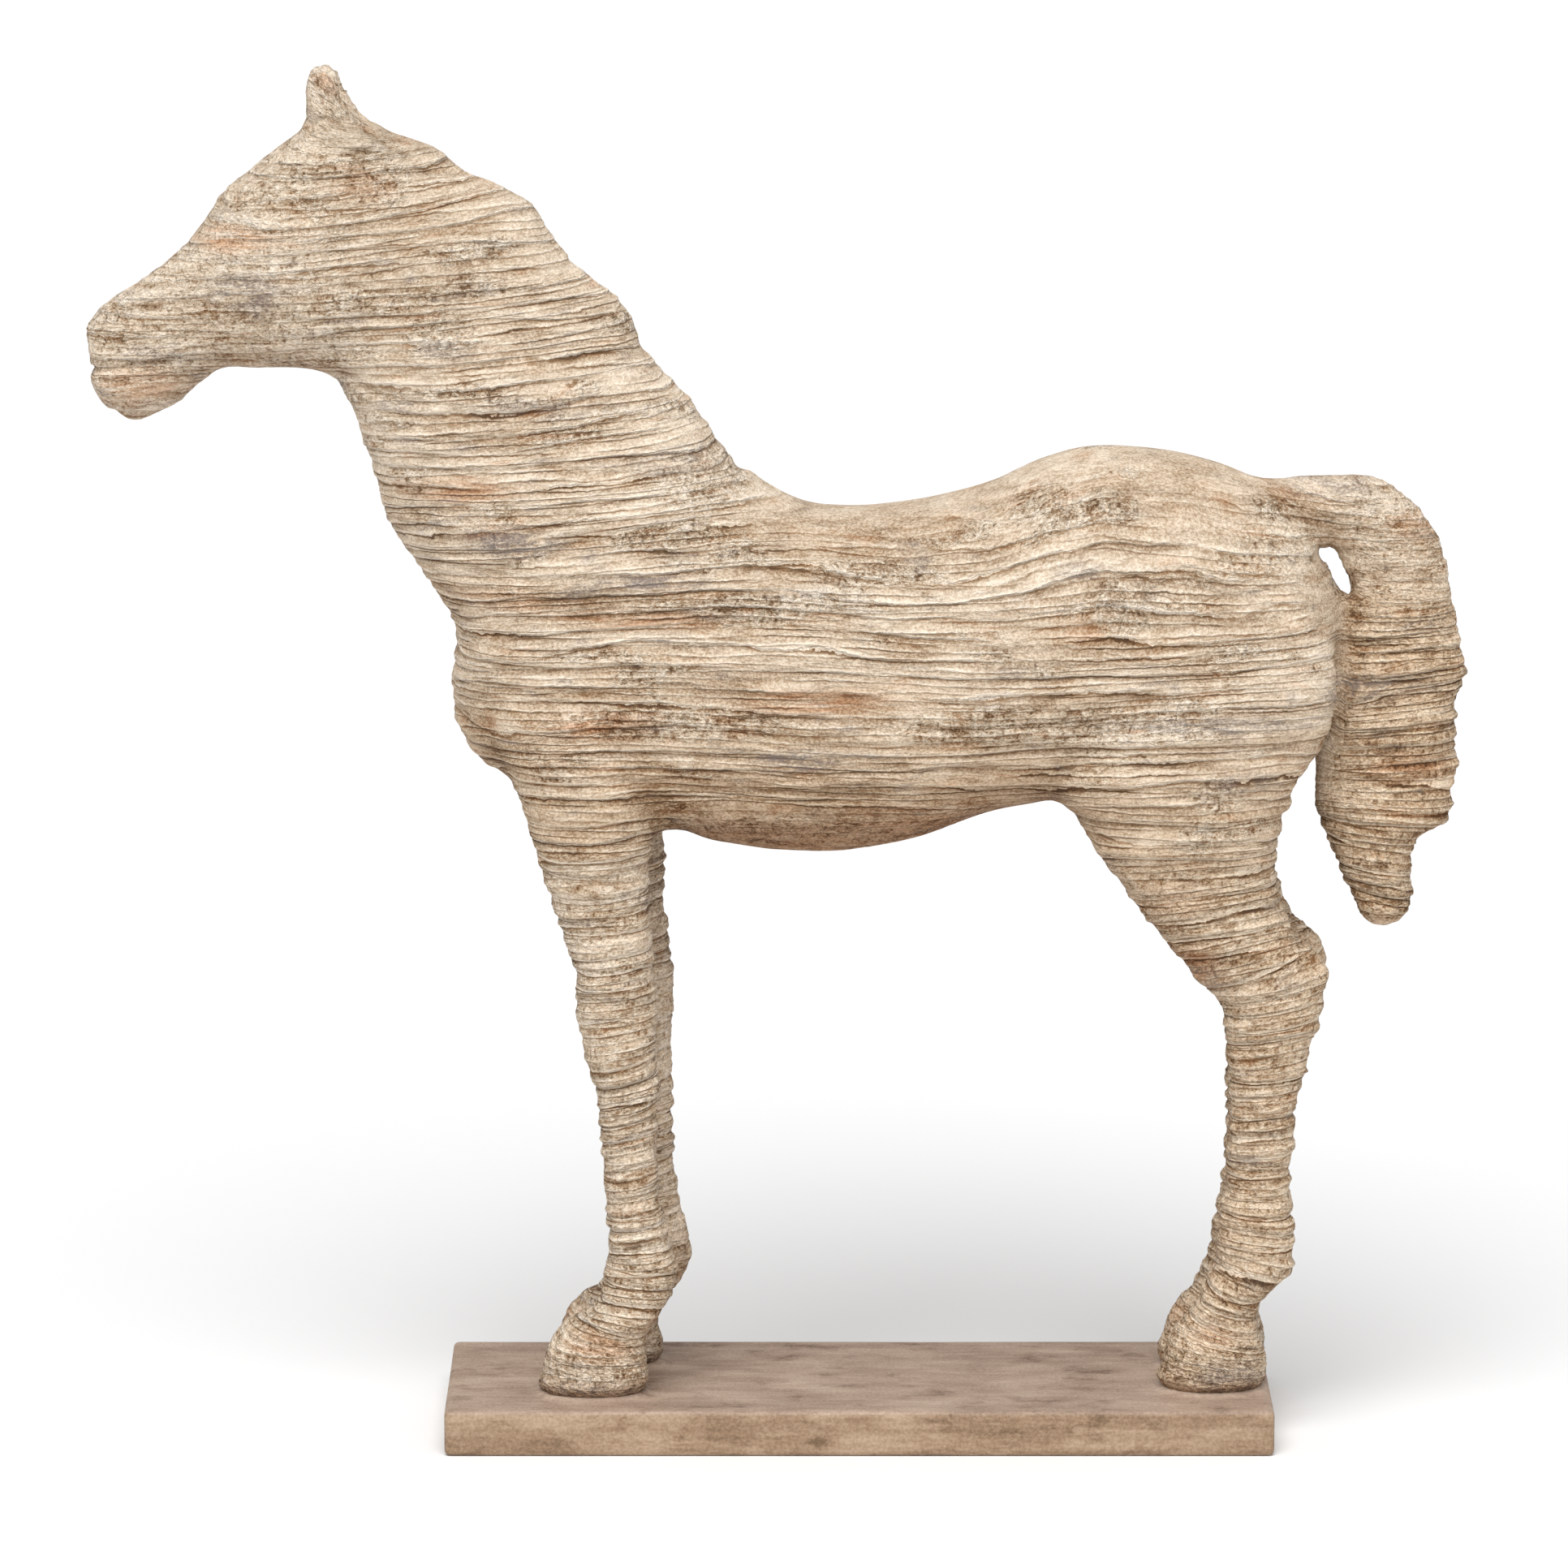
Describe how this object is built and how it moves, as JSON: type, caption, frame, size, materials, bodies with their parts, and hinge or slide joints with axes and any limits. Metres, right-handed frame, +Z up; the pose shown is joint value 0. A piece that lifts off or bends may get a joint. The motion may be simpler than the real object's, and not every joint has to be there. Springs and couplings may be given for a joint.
{
  "type": "polystone horse sculpture",
  "caption": "Standing horse figure in pale weathered polystone with layered, wood-like ridges all over, fixed on a low rectangular plinth.",
  "frame": {"origin": "centre of the plinth's underside", "axes": "+Z up, -X towards the horse's head, +X towards its tail, Y across its flanks with the pictured side at -Y"},
  "size_m": [0.4555, 0.091, 0.4578],
  "materials": {
    "pale_polystone": "matt, layered and crumbly, with a brown wash in the cracks",
    "brown_polystone": "smooth, matt to satin, mottled brown"
  },
  "bodies": {
    "root": {"horse": "pale_polystone", "plinth": "brown_polystone"}
  },
  "joints": []
}
